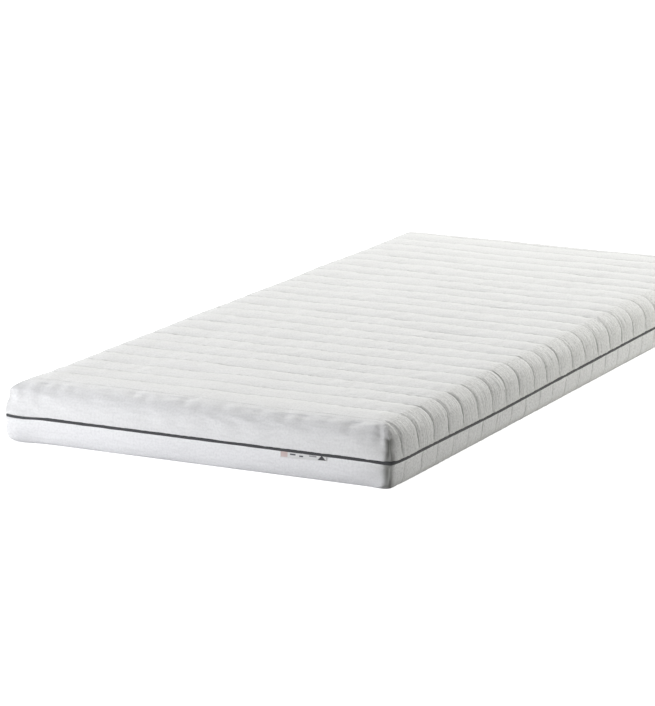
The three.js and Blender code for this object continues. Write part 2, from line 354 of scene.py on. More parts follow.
def line_distance(run, lines):
    """Distance to the nearest quilting line, and half the width of the channel there."""
    lines = np.asarray(lines)
    after = np.clip(np.searchsorted(lines, run), 1, len(lines) - 1)
    nearest = np.minimum(abs(run - lines[after - 1]), abs(run - lines[after]))
    half = (lines[after] - lines[after - 1]) / 2
    return nearest, half


def quilted(shell, depth, level_depth, groove, groove_width, seed):
    """How far the stitching pulls the cloth in, and how much painted shade darkens it along each line."""
    distance, half = line_distance(shell.run, shell.lines)
    from_line = np.clip(1 - distance / half, 0, 1)
    level = smooth_step(shell.flat, 0.2, 1)
    pillow = from_line ** (2.7 - 0.9 * level)
    depth = depth + (level_depth - depth) * level
    groove = groove * (1 - 0.55 * level)
    line = np.exp(-((distance / groove_width) ** 1.5))
    from_end = np.minimum(shell.run, LENGTH - shell.run)
    first = 1 - smooth_step(from_end, shell.lines[0] + 4 * MM, shell.lines[0] + 36 * MM)
    inward = smooth_step(HALF_WIDTH - abs(shell.cross), -8 * MM, 78 * MM)
    line = line * (1 - first * (0.25 + 0.5 * inward))
    pillow = pillow * (1 - first * (0.3 + 0.25 * inward))
    towards_far_end = smooth_step(shell.run, 350 * MM, 1100 * MM)
    on_shoulder = smooth_step(shell.share, 0.35, 0.8)
    softer = (1 - 0.22 * towards_far_end) * (1 - 0.5 * on_shoulder)
    hold = smooth_step(shell.share, 0, 0.2) * (softer + (1 - softer) * level)
    uneven = 1 + 0.22 * soft_noise(shell.cross / 0.11, shell.run / 0.06, seed)
    cut = (depth * pillow * uneven + groove * line) * hold
    pucker = soft_noise(shell.cross / (13 * MM), shell.run / (26 * MM), seed + 1)
    cut += 0.38 * MM * pucker * np.exp(-distance / (11 * MM)) * hold
    # The second value is painted shade along the lines, weaker on the level panel.
    return cut, line * hold * (1 - 0.82 * level)


def dart_distance(shell, shift_low, shift_high):
    """Distance along each ring to the nearest dart, which sits a little round on the short end."""
    size, count = shell.rim_size, len(shell.rings)
    rings = shell.points[: count * size].reshape(count, size, 3)
    steps = np.linalg.norm(np.roll(rings, -1, axis=1) - rings, axis=-1)
    travel = np.concatenate([np.zeros((count, 1)), np.cumsum(steps, axis=1)[:, :-1]], axis=1)
    whole = steps.sum(axis=1, keepdims=True)
    gap = np.full((count, size), 1.0)
    share = np.clip([ring[3] / 0.65 for ring in shell.rings], 0, 1)
    shift = (shift_low + (shift_high - shift_low) * share**2)[:, None]
    for tip in np.where(shell.on_dart)[0]:
        towards_end = 1 if shell.rim_columns[tip] == 0 and shell.rim_rows[tip] == 0 else -1
        towards_end = -towards_end if shell.rim_rows[tip] > 0 else towards_end
        apart = travel - travel[:, tip : tip + 1] - towards_end * shift
        apart = (apart + whole / 2) % whole - whole / 2
        apart *= towards_end
        gap = np.where(abs(apart) < abs(gap), apart, gap)
    far = np.full(len(shell.points), 1.0)
    far[: count * size] = gap.ravel()
    return far


def corner_value(x, y, which):
    """Each corner's own value, all over its quarter of the plan."""
    value = np.zeros(len(x))
    for (side, end), amounts in CORNER_CHARACTER.items():
        value = np.where((np.sign(x) == side) & (np.sign(y) == end), amounts[which], value)
    return value


def diagonal(x, y):
    """The outward diagonal of the nearest corner, in plan."""
    return np.column_stack([np.sign(x), np.sign(y)]) / math.sqrt(2)


def corner_gap(x, y):
    """Distance to the nearest corner of the whole, in plan."""
    return np.hypot(HALF_WIDTH - abs(x), HALF_LENGTH - abs(y))


def ear_push(x, y):
    """Plan movement that draws the seam's corners out to a soft point."""
    amount = corner_value(x, y, DRAWN) * np.exp(-((corner_gap(x, y) / (42 * MM)) ** 2))
    return diagonal(x, y) * amount[:, None]


def skew_push(x, y):
    """The near right corner sits a little towards the left, as a hand-pulled cover does."""
    here = (x > 0) & (y < 0)
    amount = 5 * MM * here * np.exp(-((corner_gap(x, y) / (40 * MM)) ** 2))
    return np.column_stack([-amount, np.zeros(len(x))])


def relaxed(points, faces, near, rounds):
    """Evens out the places round the corners' tips, where rows and rings meet."""
    quads = np.array([face for face in faces if len(face) == 4])
    starts = quads.ravel()
    ends = np.roll(quads, -1, axis=1).ravel()
    edges = np.unique(np.sort(np.column_stack([starts, ends]), axis=1), axis=0)
    edges = edges[(near[edges[:, 0]] > 0.01) | (near[edges[:, 1]] > 0.01)]
    count = np.zeros(len(points))
    np.add.at(count, edges[:, 0], 1)
    np.add.at(count, edges[:, 1], 1)
    weight = (near * (count > 0) * 0.6)[:, None]
    for _ in range(rounds):
        total = np.zeros_like(points)
        np.add.at(total, edges[:, 0], points[edges[:, 1]])
        np.add.at(total, edges[:, 1], points[edges[:, 0]])
        points = points + (total / np.maximum(count, 1)[:, None] - points) * weight
    return points


def box_push(shell):
    """Plan movement that fills out a shoulder's corner."""
    x, y = shell.points[:, 0], shell.points[:, 1]
    amount = corner_value(x, y, BOXED) * np.exp(-((corner_gap(x, y) / (66 * MM)) ** 2))
    return diagonal(x, y) * (amount * smooth_step(shell.share, 0.4, 0.86))[:, None]


def seam_wave(points):
    """The seam isn't quite level: it wanders a little, and dips at the corners."""
    wander = 0.45 * MM * soft_noise(points[:, 0] / 0.45, points[:, 1] / 0.45, 71)
    x, y = points[:, 0], points[:, 1]
    sag = 3.4 * MM * np.exp(-(((y + 0.42) / 0.3) ** 2)) * (x > HALF_WIDTH / 2)
    left_end = (x < 0) & (y < 0)
    slack = 2.6 * MM * np.exp(-(((corner_gap(x, y) - 42 * MM) / (32 * MM)) ** 2))
    dip = 1.8 * MM * np.exp(-((corner_gap(x, y) / (55 * MM)) ** 2))
    return wander - 0.9 * MM - sag - np.where(left_end, slack, dip)


def band(gap, half_width):
    """1 across a dart's flat band, with soft edges."""
    return np.exp(-((abs(gap) / half_width) ** 4))


def lopsided(gap, on_end, on_side):
    """A dart's band of painted shade, of its own width on the short end and on the long side."""
    return np.where(gap > 0, band(gap, on_end), band(gap, on_side))


def eased(gap, half_width):
    """A band that drops quickly on the short end's side and comes back slowly on the other."""
    return np.where(gap > 0, band(gap, half_width), np.exp(-((abs(gap) / (26 * MM)) ** 1.6)))


def rim_gathers(shell, seed):
    """Small upright gathers where the wall is eased into the piping."""
    along = np.where(abs(shell.points[:, 0]) > HALF_WIDTH - 60 * MM, shell.points[:, 1], shell.points[:, 0])
    fine = soft_noise(along / (9 * MM), shell.arc / (40 * MM), seed)
    return 0.5 * MM * fine * np.exp(-shell.arc / (9 * MM)) * smooth_step(shell.share, 0, 0.05)


def end_wall(shell):
    """1 where a short end is nearer than a long side, 0 elsewhere."""
    gap_end = HALF_LENGTH - abs(shell.points[:, 1])
    gap_side = HALF_WIDTH - abs(shell.points[:, 0])
    return smooth_step(gap_side - gap_end, 0, 12 * MM)


def wall_only(shell):
    """True on a wall, where the distance to the nearest dart is known."""
    return (shell.flat < 1) & (shell.arc < shell.arc_top + MM)


def filled_out(shell, gap, full_to, gone_by):
    """Plan movement of a corner that its core fills, between two shares of the wall's height."""
    x, y = shell.points[:, 0], shell.points[:, 1]
    amount = corner_value(x, y, FILLED) * np.exp(-((gap / (46 * MM)) ** 2))
    amount = amount * smooth_step(shell.share, 0.01, 0.1)
    amount = amount * (1 - smooth_step(shell.share, full_to, gone_by)) * wall_only(shell)
    return diagonal(x, y) * amount[:, None]


def piping_corner_shadow(shell, gap):
    """1 just above and below the piping at a corner, where painted shadow darkens the cloth."""
    return np.exp(-((shell.arc / (3.8 * MM)) ** 2)) * band(gap, 18 * MM)


def dimple(across, up, wide, tall):
    """1 in the middle of a soft round dent, by the distance across and up from there."""
    return np.exp(-((across / wide) ** 2) - (up / tall) ** 2)


def end_dimples(shell, seed):
    """Shallow dimples in a row along each short end's shoulder, deepest right of the middle."""
    draw = np.random.default_rng(seed)
    x, arc = shell.points[:, 0], shell.arc
    total = np.zeros(len(x))
    for end in (-1, 1):
        here = (np.sign(shell.points[:, 1]) == end) * end_wall(shell)
        place = -HALF_WIDTH + 42 * MM
        while place < HALF_WIDTH - 34 * MM:
            deep = draw.uniform(0.7, 2.1) * MM
            wide = draw.uniform(8, 14) * MM
            height = shell.arc_top + draw.uniform(-16, 2) * MM
            from_left = 0.5 + 0.5 * smooth_step(place, -400 * MM, -100 * MM)
            at_right = 1 - 0.6 * smooth_step(place, 310 * MM, 380 * MM)
            deep = deep * from_left * at_right
            total += here * deep * dimple(x - place, arc - height, wide, 12 * MM)
            place += draw.uniform(24, 56) * MM
    at_near = (shell.points[:, 1] < 0) * end_wall(shell)
    pressed = dimple(x - PRESSED_PLACE, arc - shell.arc_top + 6 * MM, 17 * MM, 11 * MM)
    return total + at_near * PRESSED_DEPTH * pressed


def grain(shell):
    """How strongly the quilted cloth's fine rumples show: most on the long sides' walls."""
    wall = 1 - smooth_step(shell.flat, 0, 0.6)
    return 0.5 + wall * (0.65 * (1 - end_wall(shell)) - 0.1 * end_wall(shell))


def linked(name, data):
    """A new object that shows the data, in the scene."""
    thing = bpy.data.objects.new(name, data)
    bpy.context.scene.collection.objects.link(thing)
    return thing


def add_values(mesh, name, values):
    attribute = mesh.attributes.new(name, "FLOAT", "POINT")
    attribute.data.foreach_set("value", values.astype(np.float32))


def face_corners(mesh):
    """The vertex at each corner of each face."""
    corners = np.zeros(len(mesh.loops), int)
    mesh.loops.foreach_get("vertex_index", corners)
    return corners


def add_pattern(mesh, places):
    """UV map in metres, with one place for each corner of each face."""
    layer = mesh.uv_layers.new(name="pattern")
    layer.data.foreach_set("uv", places.astype(np.float32).ravel())


def shade_smooth(mesh):
    mesh.polygons.foreach_set("use_smooth", np.ones(len(mesh.polygons), bool))


def build_mesh(shell, points, faces, painted_shade):
    """Blender mesh with the pattern's own measurements as its UV map."""
    mesh = bpy.data.meshes.new(shell.name)
    mesh.from_pydata(points.tolist(), [], faces)
    mesh.update()
    # Painted shade for the cloth's colour, kept as a vertex attribute.
    add_values(mesh, "painted_shade", painted_shade)
    add_values(mesh, "grain", grain(shell))
    corners = face_corners(mesh)
    starts = np.zeros(len(mesh.polygons), int)
    mesh.polygons.foreach_get("loop_start", starts)
    face_of = np.searchsorted(starts, np.arange(len(corners)), side="right") - 1
    flap_on_end = shell.wall_face_ends()
    on_wall = face_of < len(flap_on_end)
    on_end = np.zeros(len(corners), bool)
    on_end[on_wall] = flap_on_end[face_of[on_wall]]
    p = shell.points[corners]
    drop = np.maximum(shell.arc_top - shell.arc[corners], 0)
    u = np.where(on_wall & ~on_end, np.sign(p[:, 0]) * (HALF_WIDTH + drop), p[:, 0])
    v = np.where(on_wall & on_end, np.sign(p[:, 1]) * (HALF_LENGTH + drop), p[:, 1])
    add_pattern(mesh, np.column_stack([u, v]))
    shade_smooth(mesh)
    return linked(shell.name, mesh)


def mirrored_columns(edge, coarse):
    """Places across the width: close at the shoulders, wider apart over the middle."""
    over_shoulder, middle_from = 7 * MM, 130 * MM
    near = graded(edge, COLUMN_FIXED, 12, 1.5)
    shoulder = np.arange(COLUMN_FIXED + over_shoulder, middle_from - 4 * MM, over_shoulder)
    middle = np.linspace(middle_from, HALF_WIDTH, int((HALF_WIDTH - middle_from) / coarse) + 1)
    left = np.concatenate([near, shoulder, middle]) - HALF_WIDTH
    return np.concatenate([left, -left[-2::-1]])


def sewn_lines(first, pitch, count, spread, seed):
    """Quilting lines at nearly even places, from the near short end."""
    draw = np.random.default_rng(seed)
    return [first + k * pitch + draw.uniform(-spread, spread) for k in range(count)]


def held_by_thread(shell, gap):
    """True where stitching, seam or dart holds the cloth, so the wadding can't lift it."""
    distance, _ = line_distance(shell.run, shell.lines)
    from_end = np.minimum(shell.run, LENGTH - shell.run)
    loose = (from_end < shell.lines[0] + 20 * MM) & (abs(shell.cross) < HALF_WIDTH - 70 * MM)
    stitched = (distance < 1.5 * MM) & ~loose
    darted = (abs(gap) < 12 * MM) & (shell.share < 0.75)
    return stitched | darted | (shell.arc < 9 * MM)


def looseness(shell, gap):
    """How much of its swell the cloth keeps: all on top, less on the walls and at plain corners."""
    near_dart = np.exp(-abs(gap) / (90 * MM))
    darted = corner_value(shell.points[:, 0], shell.points[:, 1], DARTED)
    end = end_wall(shell)
    taut = 0.7 * end * (1 - near_dart * darted) + 0.55 * (1 - end) * (1 - shell.flat)
    return (1 - taut) * (1 - 0.9 * near_dart * (1 - darted))


def swell(points, faces, held):
    """How far the wadding lifts the cloth between its stitching: a short cloth simulation.

    The cloth is a little longer than the foam, so it settles in soft puckers."""
    scene = bpy.context.scene
    mesh = bpy.data.meshes.new("wadding")
    mesh.from_pydata(points.tolist(), [], faces)
    padded = linked("wadding", mesh)
    padded.vertex_groups.new(name="held").add(np.where(held)[0].tolist(), 1.0, "REPLACE")
    cloth = padded.modifiers.new("wadding", "CLOTH")
    settings = cloth.settings
    settings.quality = 3
    settings.mass = 0.3
    settings.tension_stiffness = 15
    settings.compression_stiffness = 15
    settings.shear_stiffness = 5
    settings.bending_stiffness = 0.5
    settings.shrink_min = -0.004
    settings.use_pressure = True
    settings.uniform_pressure_force = 1.5
    settings.vertex_group_mass = "held"
    settings.effector_weights.gravity = 0
    cloth.collision_settings.use_collision = False
    cloth.point_cache.frame_start = 1
    cloth.point_cache.frame_end = SWELL_STEPS
    for step in range(1, SWELL_STEPS + 1):
        scene.frame_set(step)
    settled = padded.evaluated_get(bpy.context.evaluated_depsgraph_get()).to_mesh()
    after = np.zeros(len(points) * 3)
    settled.vertices.foreach_get("co", after)
    bpy.data.objects.remove(padded)
    bpy.data.meshes.remove(mesh)
    scene.frame_set(1)
    moved = after.reshape(-1, 3) - points
    length = np.linalg.norm(moved, axis=1, keepdims=True)
    return moved * np.minimum(length, MOST_SWELL) / np.maximum(length, 1e-9)


def corner_tips(shell):
    """1 on the shoulder's corner tips, where the panel's rows meet the wall's rings."""
    gap = corner_gap(shell.points[:, 0], shell.points[:, 1])
    tips = np.exp(-((abs(gap - 1.25 * shell.edge) / (20 * MM)) ** 2))
    return tips * smooth_step(shell.share, 0.62, 0.8) * (gap < 100 * MM)


def joined_at_seam(shell, points, reach, amount):
    """Moves the cloth beside the seam with the piping, which wanders and has drawn-out corners."""
    x, y = shell.points[:, 0], shell.points[:, 1]
    points[:, 2] += seam_wave(shell.points) * np.exp(-shell.arc / reach) * amount
    points[:, :2] += ear_push(x, y) * np.exp(-shell.arc / (9 * MM))[:, None]


def pleated(shell, seed):
    """Long faint pleats low on the short ends' walls."""
    pleats = soft_noise(shell.points[:, 0] / 0.11, shell.arc / (6 * MM), seed) * end_wall(shell)
    return 0.16 * MM * pleats * smooth_step(shell.share, 0, 0.05)


def upper_dart(shell, gap):
    """How strongly the upper darts show, the band of painted shade along them, and the pull beside them,
    which draws the cloth in and also gets painted shade.
    """
    dart = smooth_step(shell.share, 0.02, 0.08) * (1 - smooth_step(shell.share, 0.58, 0.71))
    dart = dart * corner_value(shell.points[:, 0], shell.points[:, 1], DARTED)
    dart_shade_band = lopsided(gap, on_end=9 * MM, on_side=17 * MM)
    pulled = np.exp(-abs(gap) / (36 * MM)) * smooth_step(shell.share, 0.02, 0.3)
    pulled = pulled * (1 - smooth_step(shell.share, 0.6, 0.97))
    return dart, dart_shade_band, pulled


def upper_relief(shell, gap, dart, pulled):
    """How far the upper cover is drawn in everywhere, and the painted shade along its lines."""
    x, y = shell.points[:, 0], shell.points[:, 1]
    cut, line = quilted(shell, depth=3.2 * MM, level_depth=4.1 * MM, groove=1.5 * MM,
                        groove_width=1.7 * MM, seed=21)
    rumpled = soft_noise(shell.run / (9 * MM), shell.cross / (50 * MM), 23)
    cut += (1 - shell.flat) * 0.32 * MM * rumpled
    cut += 0.9 * MM * soft_noise(x / 0.3, y / 0.26, 24) * smooth_step(shell.share, 0.1, 0.5)
    cut += rim_gathers(shell, 25)
    cut += end_dimples(shell, 26)
    cut += pleated(shell, 27) * np.exp(-shell.arc / (30 * MM))
    cut += dart * 3.0 * MM * eased(gap, half_width=9 * MM) + corner_value(x, y, PULLED) * pulled
    folds = soft_noise(x / (26 * MM), shell.arc / (120 * MM), 29) * end_wall(shell)
    folds = folds * smooth_step(shell.share, 0.25, 0.6) * (1 - smooth_step(shell.share, 0.9, 1))
    folds = folds * np.exp(-abs(gap) / (70 * MM)) * smooth_step(abs(gap), 6 * MM, 24 * MM)
    return cut + 0.7 * MM * folds, line


def make_upper_cover():
    """The upper half: quilting, dimples, darts and gathers, then the swell of its wadding."""
    offsets = [o * MM for o in (0, 1, 2.2, 4, 7, 11.5, 17, 24, 31)]
    lines = sewn_lines(first=46 * MM, pitch=75.4 * MM, count=26, spread=2.2 * MM, seed=5)
    shell = Shell("quilted_upper_cover", depth=SHOULDER_DEPTH, height=TOP - SEAM, edge=UPPER_EDGE,
                  wall_inset=1.5 * MM, lines=lines, offsets=offsets, rows_fixed=UPPER_ROW_FIXED,
                  columns=mirrored_columns(UPPER_EDGE, coarse=7.5 * MM))
    faces = shell.faces()
    shell.points = relaxed(shell.points, faces, corner_tips(shell), rounds=14)
    x, y = shell.points[:, 0], shell.points[:, 1]
    gap = dart_distance(shell, shift_low=6 * MM, shift_high=2.5 * MM)
    dart, dart_shade_band, pulled = upper_dart(shell, gap)
    cut, line = upper_relief(shell, gap, dart, pulled)
    points = shell.points - vertex_normals(shell.points, faces) * cut[:, None]
    points[:, :2] += box_push(shell) + skew_push(x, y)
    points[:, :2] += filled_out(shell, gap, full_to=0.1, gone_by=0.7)
    drift = 1.1 * MM * soft_noise(shell.cross / 0.28, shell.run / 0.09, 28)
    drift = drift * smooth_step(shell.share, 0.05, 0.4)
    points[:, 1] += drift * (1 - end_wall(shell) * (1 - shell.flat))
    points += looseness(shell, gap)[:, None] * swell(points, faces, held_by_thread(shell, gap))
    joined_at_seam(shell, points, reach=25 * MM, amount=1)
    # Painted shade: darker along the quilting lines, in the dart bands and most low down, beside the
    # pulled-in corners and next to the piping at the corners.
    low_down = 1 + 0.3 * (1 - smooth_step(shell.share, 0.05, 0.4))
    painted_corner_shade = corner_value(x, y, DARTED) * (0.24 * pulled + 1.1 * piping_corner_shadow(shell, gap))
    painted_shade = np.clip(line + dart * dart_shade_band * low_down + painted_corner_shade, 0, 1.35)
    return build_mesh(shell, points, faces, painted_shade), shell, points


def lower_dart(shell, gap):
    """How strongly the lower darts show, their band of painted shade, the fold in it and the pull beside:
    both drawn in and painted with shade.
    """
    dart = smooth_step(shell.share, 0.02, 0.08) * (1 - smooth_step(shell.share, 0.93, 1))
    dart = dart * corner_value(shell.points[:, 0], shell.points[:, 1], DARTED)
    dart_shade_band = lopsided(gap, on_end=10 * MM, on_side=20 * MM)
    fold = np.exp(-((abs(gap + 7.5 * MM) / (2.2 * MM)) ** 2))
    pulled = np.exp(-abs(gap) / (32 * MM)) * smooth_step(shell.share, 0.02, 0.25)
    pulled = pulled * (1 - 0.7 * smooth_step(shell.share, 0.5, 0.95))
    return dart, dart_shade_band, fold, pulled


def lower_relief(shell, gap, off_floor, dart, fold, pulled):
    """How far the lower cover is drawn in, hardly at all where it lies on the floor, and the painted shade
    along its lines.
    """
    x, y = shell.points[:, 0], shell.points[:, 1]
    cut, line = quilted(shell, depth=1.5 * MM, level_depth=1.5 * MM, groove=0.8 * MM,
                        groove_width=1.6 * MM, seed=41)
    cut *= 1 - 0.75 * smooth_step(shell.share, 0.5, 0.9)
    rumpled = soft_noise(shell.run / (10 * MM), shell.cross / (60 * MM), 43)
    cut += off_floor * 0.3 * MM * rumpled
    on_wall = smooth_step(shell.share, 0.1, 0.4) * (1 - smooth_step(shell.share, 0.6, 0.95))
    cut += off_floor * 0.8 * MM * soft_noise(x / 0.2, y / 0.2, 44) * on_wall
    cut += rim_gathers(shell, 45)
    cut += pleated(shell, 47) * off_floor
    cut += dart * (2.2 * MM * eased(gap, half_width=10.5 * MM) + 2.0 * MM * fold)
    pull = 1 * MM * corner_value(x, y, DARTED) + 0.85 * corner_value(x, y, PULLED)
    cut += pull * pulled * off_floor
    return np.where(off_floor > 0, cut, np.clip(cut, 0, 0.6 * MM)), line


def make_lower_cover():
    """The lower half: the same sewing, lighter and more taut, flat where it lies on the floor."""
    offsets = [o * MM for o in (0, 1.2, 3, 6, 12, 20, 29)]
    lines = sewn_lines(first=60 * MM, pitch=78 * MM, count=25, spread=3.5 * MM, seed=8)
    shell = Shell("quilted_lower_cover", depth=FOOT_DEPTH, height=-SEAM, edge=LOWER_EDGE,
                  wall_inset=2.2 * MM, lines=lines, offsets=offsets, rows_fixed=LOWER_ROW_FIXED,
                  columns=mirrored_columns(LOWER_EDGE, coarse=12 * MM))
    faces = shell.faces()
    x, y = shell.points[:, 0], shell.points[:, 1]
    off_floor = smooth_step(shell.points[:, 2], 0.5 * MM, 6 * MM)
    gap = dart_distance(shell, shift_low=8.5 * MM, shift_high=8.5 * MM)
    dart, dart_shade_band, fold, pulled = lower_dart(shell, gap)
    cut, line = lower_relief(shell, gap, off_floor, dart, fold, pulled)
    points = shell.points - vertex_normals(shell.points, faces) * cut[:, None]
    points[:, :2] += filled_out(shell, gap, full_to=0.8, gone_by=1.6)
    spread = 8 * MM * np.exp(-((gap / (24 * MM)) ** 2)) * smooth_step(shell.share, 0.3, 0.95)
    spread = spread * wall_only(shell)
    points[:, :2] += skew_push(x, y) + diagonal(x, y) * spread[:, None]
    points[:, 2] = np.maximum(points[:, 2], 0)
    joined_at_seam(shell, points, reach=20 * MM, amount=off_floor)
    # Painted shade: darker along the quilting lines off the floor, in the dart bands and their folds,
    # beside the pulled-in corners and next to the piping at the corners.
    painted_corner_shade = corner_value(x, y, DARTED) * (0.24 * pulled + 0.9 * piping_corner_shadow(shell, gap))
    painted_shade = np.clip(0.7 * line * off_floor + dart * (dart_shade_band + 0.5 * fold) + painted_corner_shade, 0, 1.4)
    return build_mesh(shell, points, faces, painted_shade), shell, points


# ---- piping ------------------------------------------------------------------------------


def round_the_seam(shell):
    """The piping's route: its outer edge in plan, the way outwards, and the length travelled."""
    g = shell.grid
    j, i = shell.rim_rows, shell.rim_columns
    from_side = shell.squeezed(g["from_side"][j, i], 0.0, COLUMN_FIXED)
    from_end = shell.squeezed(g["from_end"][j, i], 0.0, shell.fixed)
    plan, outward = plan_point(g["side"][j, i], g["end"][j, i], from_side, from_end)
    travel = np.concatenate([[0], np.cumsum(np.linalg.norm(np.diff(plan, axis=0), axis=1))])
    return plan, outward, travel


def unwrap(places, whole, widest, low):
    """Lifts the near places of a face that crosses the end of the UV map past that end."""
    crossing = np.ptp(places, axis=1) > widest
    places[crossing] = np.where(places[crossing] < low, places[crossing] + whole, places[crossing])


def make_piping(shell):
    """Cord in a bias strip, all round the seam. Its UV runs along it and round it."""
    sides = 14
    plan, outward, travel = round_the_seam(shell)
    centre = np.column_stack([plan - outward * PIPING_RADIUS, np.full(len(plan), SEAM)])
    centre[:, 2] += seam_wave(centre)
    centre[:, :2] += ear_push(plan[:, 0], plan[:, 1]) + skew_push(plan[:, 0], plan[:, 1])
    radius = PIPING_RADIUS * (1 + 0.03 * soft_noise(travel / 0.03, travel * 0, 61))
    radius *= 1 + 0.2 * np.exp(-((corner_gap(plan[:, 0], plan[:, 1]) / (26 * MM)) ** 2))
    points, uv, faces = [], [], []
    size = len(plan)
    for s in range(sides):
        angle = TAU * s / sides
        out = radius * math.cos(angle)
        points.append(centre + np.column_stack([outward * out[:, None], radius * math.sin(angle)]))
        uv.append(np.column_stack([travel, np.full(size, angle * PIPING_RADIUS)]))
        low, high = s * size, ((s + 1) % sides) * size
        faces += [[low + k, low + (k + 1) % size, high + (k + 1) % size, high + k] for k in range(size)]
    mesh = bpy.data.meshes.new("corded_piping")
    mesh.from_pydata(np.concatenate(points).tolist(), [], faces)
    places = np.concatenate(uv)[face_corners(mesh)].reshape(-1, 4, 2)
    length = travel[-1] + np.linalg.norm(plan[0] - plan[-1])
    girth = TAU * PIPING_RADIUS
    unwrap(places[:, :, 0], length, length / 2, length / 2)
    unwrap(places[:, :, 1], girth, girth / 2, girth / 4)
    add_pattern(mesh, places)
    shade_smooth(mesh)
    return linked("corded_piping", mesh)


# ---- tape label --------------------------------------------------------------------------


def make_label():
    """Folded woven tape hung from the seam, its lower edge lifting a little."""
    columns, rows = 45, 10
    thickness, set_in, lift = 0.8 * MM, 0.6 * MM, 3.5 * MM
    low, high = LABEL_LOW, LABEL_HIGH
    t, s = np.meshgrid(np.linspace(0, 1, columns), np.linspace(0, 1, rows), indexing="ij")
    x = low.x + (high.x - low.x) * t
    z = high.z + MM - (high.z + MM - low.z - lift * t) * s
    ripple = 0.3 * MM * soft_noise(t * 3.2, s * 0.8, 83) * s
    front_y = low.y + set_in + 0.25 * MM * (1 - s) ** 2 + ripple
    sheet = np.stack([x, front_y, z], -1).reshape(-1, 3)
    starts = [a * rows + b for a in range(columns - 1) for b in range(rows - 1)]
    faces = [[k, k + 1, k + rows + 1, k + rows] for k in starts]
    mesh = bpy.data.meshes.new("woven_tape")
    mesh.from_pydata(sheet.tolist(), [], faces)
    flat = np.column_stack([(t * (high.x - low.x)).ravel(), (s * (high.z - low.z)).ravel()])
    add_pattern(mesh, flat[face_corners(mesh)])
    piece = linked("woven_tape", mesh)
    wall = piece.modifiers.new("two plies", "SOLIDIFY")
    wall.thickness = thickness
    wall.offset = -1
    return piece


# ---- node trees --------------------------------------------------------------------------


def add(nodes, kind, **values):
    """A new node with some of its settings."""
    node = nodes.new(kind)
    for key, value in values.items():
        setattr(node, key, value)
    return node


def set_inputs(node, values):
    """Sets the named inputs of a node."""
    for name, value in values.items():
        node.inputs[name].default_value = value


def add_socket(tree, name, way, kind, value=None):
    """A named input or output of a node group."""
    socket = tree.interface.new_socket(name, in_out=way, socket_type="NodeSocket" + kind)
    if value is not None:
        socket.default_value = value


# ---- thread: Geometry Nodes --------------------------------------------------------------


def stitch_tree(thread):
    """Lays one rounded stitch after another along every line of the input mesh."""
    tree = bpy.data.node_groups.new("quilting stitches", "GeometryNodeTree")
    add_socket(tree, "Geometry", "INPUT", "Geometry")
    add_socket(tree, "Pitch", "INPUT", "Float", STITCH_PITCH)
    add_socket(tree, "Stitch length", "INPUT", "Float", STITCH_LENGTH)
    add_socket(tree, "Thread radius", "INPUT", "Float", THREAD_RADIUS)
    add_socket(tree, "Seed", "INPUT", "Int", STITCH_SEED)
    add_socket(tree, "Geometry", "OUTPUT", "Geometry")
    nodes, links = tree.nodes, tree.links
    given = nodes.new("NodeGroupInput")
    result = nodes.new("NodeGroupOutput")
    curve = nodes.new("GeometryNodeMeshToCurve")
    links.new(given.outputs["Geometry"], curve.inputs["Mesh"])
    even = add(nodes, "GeometryNodeResampleCurve", mode="LENGTH")
    links.new(curve.outputs["Curve"], even.inputs["Curve"])
    links.new(given.outputs["Pitch"], even.inputs["Length"])
    capsule = nodes.new("GeometryNodeMeshUVSphere")
    set_inputs(capsule, {"Segments": 6, "Rings": 4, "Radius": 1.0})
    half = add(nodes, "ShaderNodeMath", operation="MULTIPLY")
    half.inputs[1].default_value = 0.5
    links.new(given.outputs["Stitch length"], half.inputs[0])
    size = nodes.new("ShaderNodeCombineXYZ")
    links.new(given.outputs["Thread radius"], size.inputs["X"])
    links.new(given.outputs["Thread radius"], size.inputs["Y"])
    links.new(half.outputs[0], size.inputs["Z"])
    tangent = nodes.new("GeometryNodeInputTangent")
    turn = add(nodes, "FunctionNodeAlignRotationToVector", axis="Z")
    links.new(tangent.outputs["Tangent"], turn.inputs["Vector"])
    vary = add(nodes, "FunctionNodeRandomValue", data_type="FLOAT")
    vary.inputs[2].default_value = 0.86
    vary.inputs[3].default_value = 1.1
    links.new(given.outputs["Seed"], vary.inputs["Seed"])
    grow = add(nodes, "ShaderNodeVectorMath", operation="SCALE")
    links.new(size.outputs["Vector"], grow.inputs[0])
    links.new(vary.outputs[1], grow.inputs["Scale"])
    place = nodes.new("GeometryNodeInstanceOnPoints")
    links.new(even.outputs["Curve"], place.inputs["Points"])
    links.new(capsule.outputs["Mesh"], place.inputs["Instance"])
    links.new(turn.outputs["Rotation"], place.inputs["Rotation"])
    links.new(grow.outputs["Vector"], place.inputs["Scale"])
    real = nodes.new("GeometryNodeRealizeInstances")
    links.new(place.outputs["Instances"], real.inputs["Geometry"])
    smooth = nodes.new("GeometryNodeSetShadeSmooth")
    links.new(real.outputs["Geometry"], smooth.inputs["Geometry"])
    finish = nodes.new("GeometryNodeSetMaterial")
    finish.inputs["Material"].default_value = thread
    links.new(smooth.outputs["Geometry"], finish.inputs["Geometry"])
    links.new(finish.outputs["Geometry"], result.inputs["Geometry"])
    return tree


def quilting_paths(shell, points, lowest, highest=1.0, keep_panel=True):
    """Each quilting line as points just proud of the cloth, up one wall and down the other."""
    normals = vertex_normals(points, shell.faces())
    size, index = shell.rim_size, shell.panel_index()
    levels = [k for k in range(shell.first_wall, len(shell.rings)) if lowest < shell.rings[k][3] < highest]
    paths = []
    for line in shell.lines:
        row = int(np.argmin(abs(shell.rows - line)))
        right = [level * size + shell.n_cols - 1 + row for level in levels]
        left = [level * size + (size - row) % size for level in levels]
        panel = list(index[row, 1:-1])
        runs = [left + panel + right[::-1]] if keep_panel else [left, right]
        paths += [points[run] + normals[run] * THREAD_LIFT for run in runs]
    return paths


